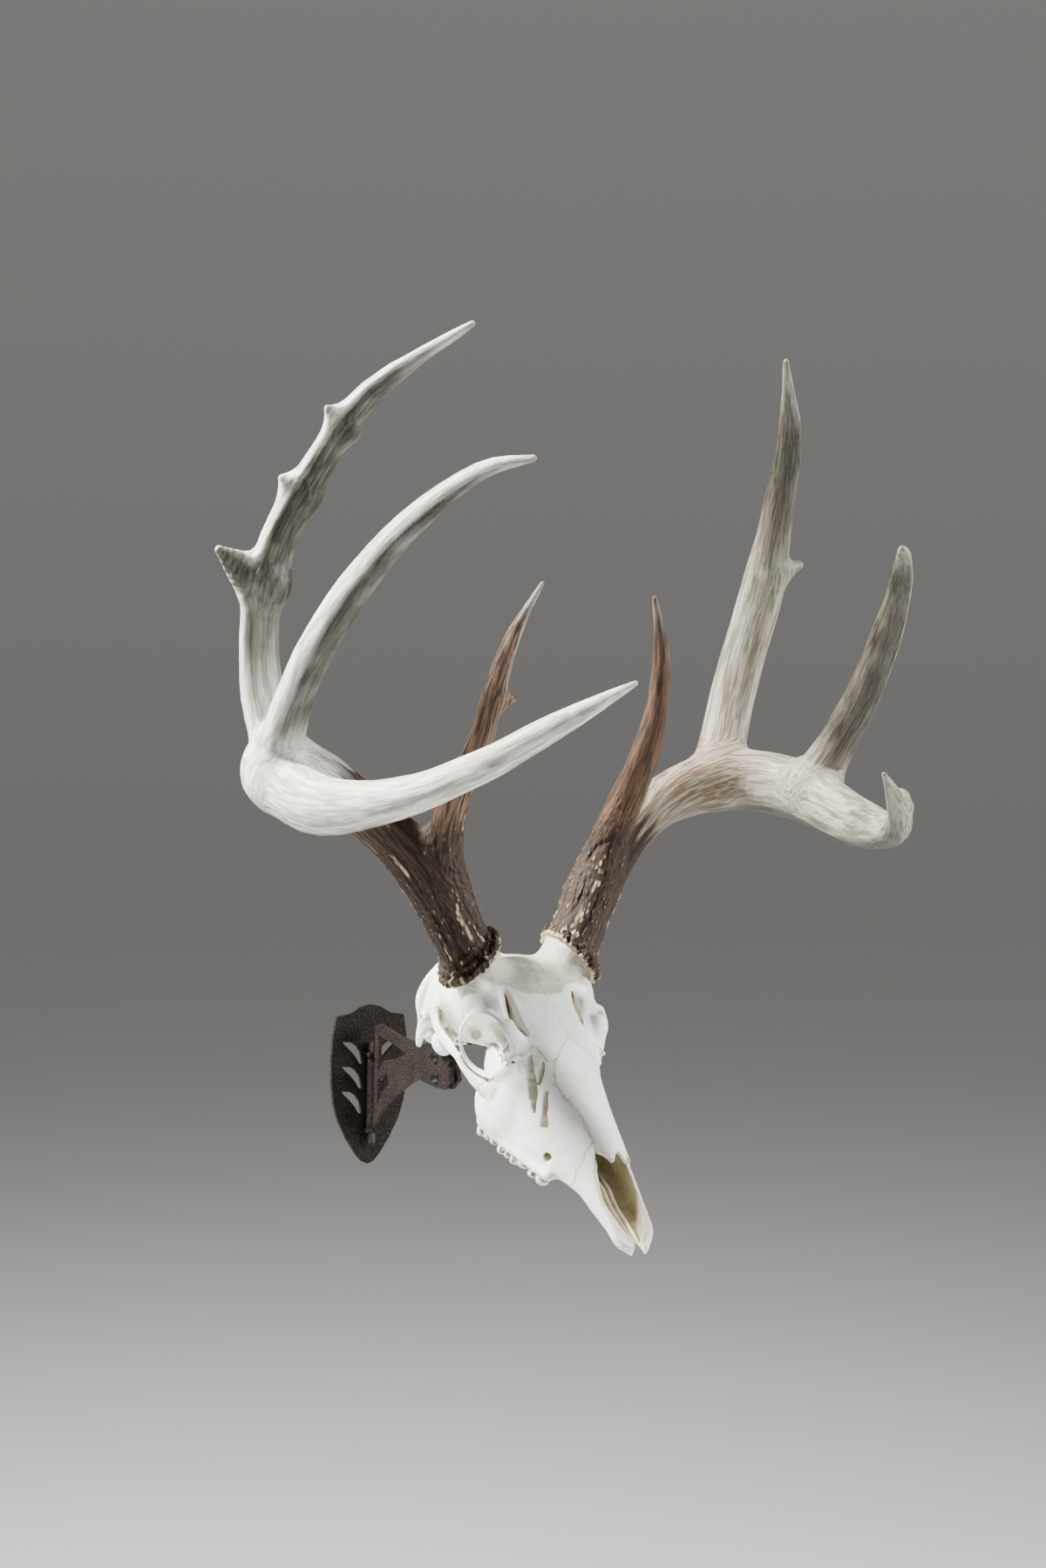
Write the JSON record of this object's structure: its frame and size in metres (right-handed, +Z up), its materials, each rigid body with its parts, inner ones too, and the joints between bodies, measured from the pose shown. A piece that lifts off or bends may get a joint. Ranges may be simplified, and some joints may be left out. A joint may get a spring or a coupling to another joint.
{
  "type": "mounted deer skull",
  "caption": "Antlered deer skull without its lower jaw, hung nose-down on a pressed steel wall bracket with a shield-shaped plate.",
  "frame": {"origin": "centre of the wall plate's back face, which lies on the wall plane y = 0", "axes": "-Y out from the wall, the way the skull looks; +Z up; +X to the deer's left"},
  "size_m": [0.4825, 0.4872, 0.6048],
  "materials": {
    "bone": "matt, bleached",
    "antler_base": "rough, stained dark brown",
    "antler_ivory": "satin, streaked",
    "brown_powder_coat": "wrinkled powder coat",
    "black_bolt": "glossy black oxide",
    "steel_screw": "dull"
  },
  "bodies": {
    "root": {"antler_R_base": "antler_base", "antler_R_brow_tine": "antler_base", "antler_R_beam_mid": "antler_ivory", "antler_R_beam_tip": "antler_ivory", "antler_R_g2_tine": "antler_ivory", "antler_R_g3_tine": "antler_ivory", "antler_L_base": "antler_base", "antler_L_brow_tine": "antler_base", "antler_L_beam_mid": "antler_ivory", "antler_L_beam_tip": "antler_ivory", "antler_L_g2_tine": "antler_ivory", "antler_L_g3_tine": "antler_ivory", "braincase": "bone", "frontal": "bone", "nasals": "bone", "maxilla_R": "bone", "maxilla_L": "bone", "premaxilla_R": "bone", "premaxilla_L": "bone", "wall_plate": "brown_powder_coat", "hinge_spine": "brown_powder_coat", "arm_plate": "brown_powder_coat", "head_cheek_R": "brown_powder_coat", "head_cheek_L": "brown_powder_coat", "skull_prong": "brown_powder_coat", "bolt_upper": "black_bolt", "bolt_lower": "black_bolt", "pivot_top": "steel_screw", "pivot_bottom": "steel_screw"}
  },
  "joints": []
}
